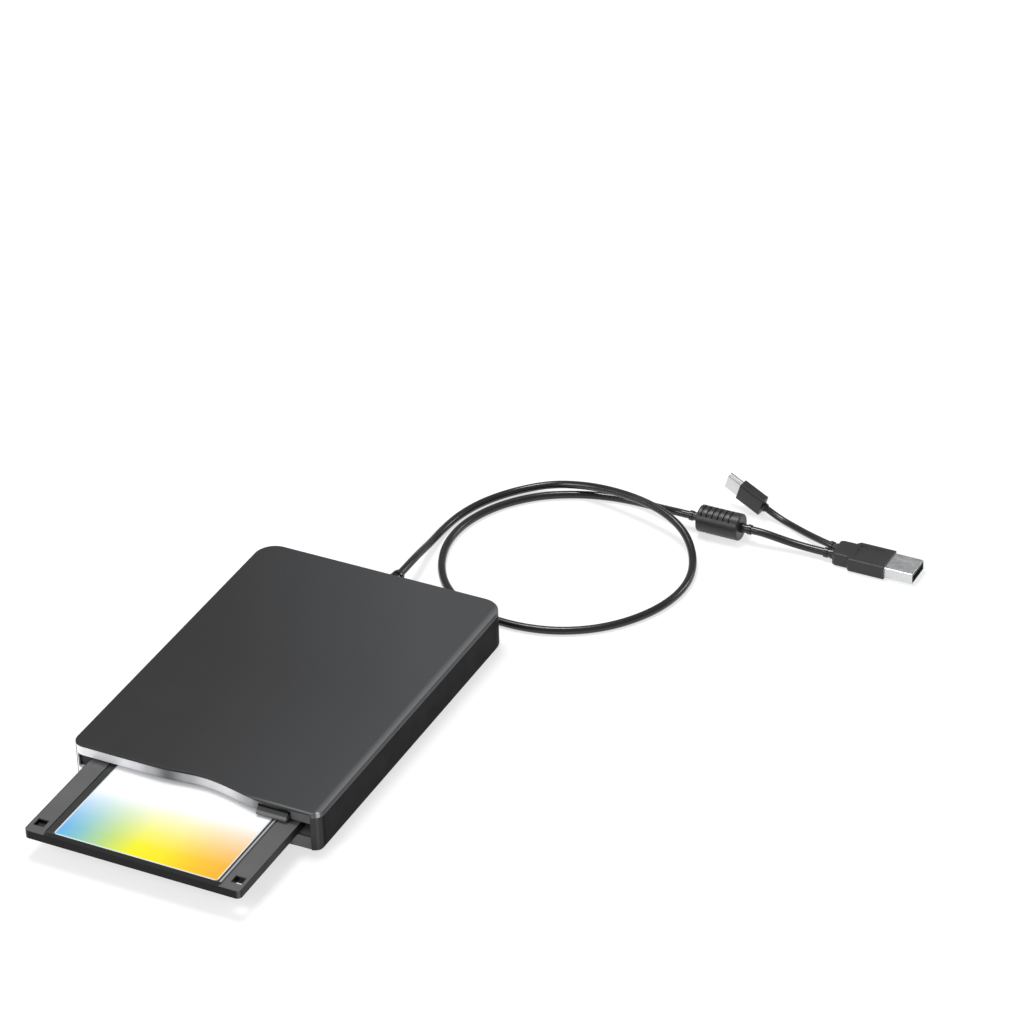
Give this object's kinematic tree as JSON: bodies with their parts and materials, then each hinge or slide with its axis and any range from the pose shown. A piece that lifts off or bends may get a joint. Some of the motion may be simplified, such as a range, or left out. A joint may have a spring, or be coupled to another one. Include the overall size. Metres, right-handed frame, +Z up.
{
  "type": "external floppy disk drive",
  "caption": "Flat external drive for 3.5-inch disks: a disk half-way into its slot, an eject button, a disk-loading and head mechanism inside, and a cable with two plugs.",
  "frame": {"origin": "centre of the case's footprint, on the surface that the feet stand on", "axes": "+Z up; the disk slot faces -Y and the cable leaves the back at +Y; +X is to the right seen from the front"},
  "size_m": [0.2341, 0.3206, 0.017],
  "materials": {
    "cover_plastic": "matte charcoal",
    "bezel_silver": "satin silver",
    "lens": "frosted",
    "button_plastic": "matte",
    "foot_rubber": "matte",
    "sheet_steel": "zinc plated",
    "bright_steel": "polished",
    "board_green": "solder mask",
    "part_black": "matte",
    "flex_film": "amber film",
    "magnet_black": "sintered",
    "winding_copper": "enamelled copper",
    "bearing_brass": "turned",
    "disk_plastic": "fine texture",
    "shutter_metal": "brushed",
    "label_paper": "printed colour gradient",
    "liner_fabric": "non-woven",
    "media_film": "coated film",
    "head_ceramic": "polished",
    "carriage_metal": "die cast",
    "cable_rubber": "satin black",
    "grip_plastic": "matte black",
    "plug_steel": "nickel plated"
  },
  "bodies": {
    "case": {"top_cover": "cover_plastic", "bottom_case": "cover_plastic", "front_bezel": "bezel_silver", "activity_led_lens": "lens", "rubber_feet": "foot_rubber", "case_screws": "bright_steel", "drive_screws": "bright_steel", "drive_chassis": "sheet_steel", "drive_top_plate": "sheet_steel", "guide_rods": "bright_steel", "drive_main_board": "board_green", "main_board_chips": "part_black", "usb_controller_board": "board_green", "controller_chips": "part_black", "ribbon_cable": "flex_film", "track_zero_sensor": "part_black", "disk_switches": "part_black", "stepper_motor": "sheet_steel", "spindle_bearing": "bearing_brass", "spindle_stator": "winding_copper", "eject_spring": "bright_steel", "cable_strain_relief": "cable_rubber", "usb_cable": "cable_rubber", "plug_lead": "cable_rubber", "pigtail_cable": "cable_rubber", "cable_collars": "cable_rubber", "ferrite_sleeve": "grip_plastic", "usb_a_overmold": "grip_plastic", "usb_a_shell": "plug_steel", "usb_a_tongue": "part_black", "usb_c_overmold": "grip_plastic", "usb_c_shell": "plug_steel"},
    "eject_slider": {"eject_button": "button_plastic", "slider_plate": "sheet_steel"},
    "holder": {"disk_holder": "sheet_steel"},
    "lever": {"shutter_lever": "sheet_steel"},
    "disk": {"disk_top_shell": "disk_plastic", "disk_bottom_shell": "disk_plastic", "disk_label": "label_paper", "upper_liner": "liner_fabric", "lower_liner": "liner_fabric"},
    "shutter": {"disk_shutter": "shutter_metal"},
    "media": {"media_disc": "media_film", "media_hub": "bright_steel"},
    "write_tab": {"write_protect_tab": "part_black"},
    "spindle": {"spindle_rotor": "sheet_steel", "rotor_magnet": "magnet_black", "spindle_shaft": "bright_steel"},
    "carriage": {"head_carriage": "carriage_metal", "lower_head": "head_ceramic"},
    "upper_arm": {"upper_head_arm": "sheet_steel", "upper_head": "head_ceramic"},
    "screw": {"lead_screw": "bright_steel"}
  },
  "joints": [
    {"name": "eject_slide", "type": "slide", "parent": "case", "child": "eject_slider", "axis": [0, -1, 0], "range_m": [0, 0.004], "deforming": ["eject_spring"]},
    {"name": "holder_drop", "type": "slide", "parent": "case", "child": "holder", "axis": [0, 0, -1], "range_m": [0, 0.0018]},
    {"name": "disk_slide", "type": "slide", "parent": "holder", "child": "disk", "axis": [0, 1, 0], "range_m": [-0.05, 0.0504]},
    {"name": "shutter_slide", "type": "slide", "parent": "disk", "child": "shutter", "axis": [-1, 0, 0], "range_m": [-0.00626, 0.00631]},
    {"name": "shutter_lever_swing", "type": "hinge", "parent": "holder", "child": "lever", "pos_m": [0.037, 0.0275, 0.0125], "axis": [0, 0, 1], "range_deg": [-35.1, 34.9]},
    {"name": "media_spin", "type": "hinge", "parent": "disk", "child": "media", "pos_m": [0, -0.0724, 0.009], "axis": [0, 0, 1], "continuous": true},
    {"name": "write_tab_slide", "type": "slide", "parent": "disk", "child": "write_tab", "axis": [0, 1, 0], "range_m": [0, 0.0045]},
    {"name": "spindle_spin", "type": "hinge", "parent": "case", "child": "spindle", "pos_m": [0, -0.022, 0.005], "axis": [0, 0, 1], "continuous": true},
    {"name": "carriage_step", "type": "slide", "parent": "case", "child": "carriage", "axis": [0, -1, 0], "range_m": [0, 0.0148]},
    {"name": "upper_arm_lift", "type": "hinge", "parent": "carriage", "child": "upper_arm", "pos_m": [0, 0.0432, 0.01045], "axis": [1, 0, 0], "range_deg": [0, 8.12]},
    {"name": "lead_screw_spin", "type": "hinge", "parent": "case", "child": "screw", "pos_m": [-0.016, 0.04, 0.008], "axis": [0, 1, 0], "continuous": true}
  ],
  "couplings": [
    {"joint": "holder_drop", "follows": "eject_slide", "ratio": 0.45},
    {"joint": "upper_arm_lift", "follows": "eject_slide", "rad_per_m": 35.343},
    {"joint": "shutter_slide", "follows": "disk_slide", "ratio": 0.125},
    {"joint": "shutter_lever_swing", "follows": "disk_slide", "rad_per_m": -12.12},
    {"joint": "media_spin", "follows": "spindle_spin", "ratio": 1},
    {"joint": "lead_screw_spin", "follows": "carriage_step", "rad_per_m": 1675.5}
  ]
}
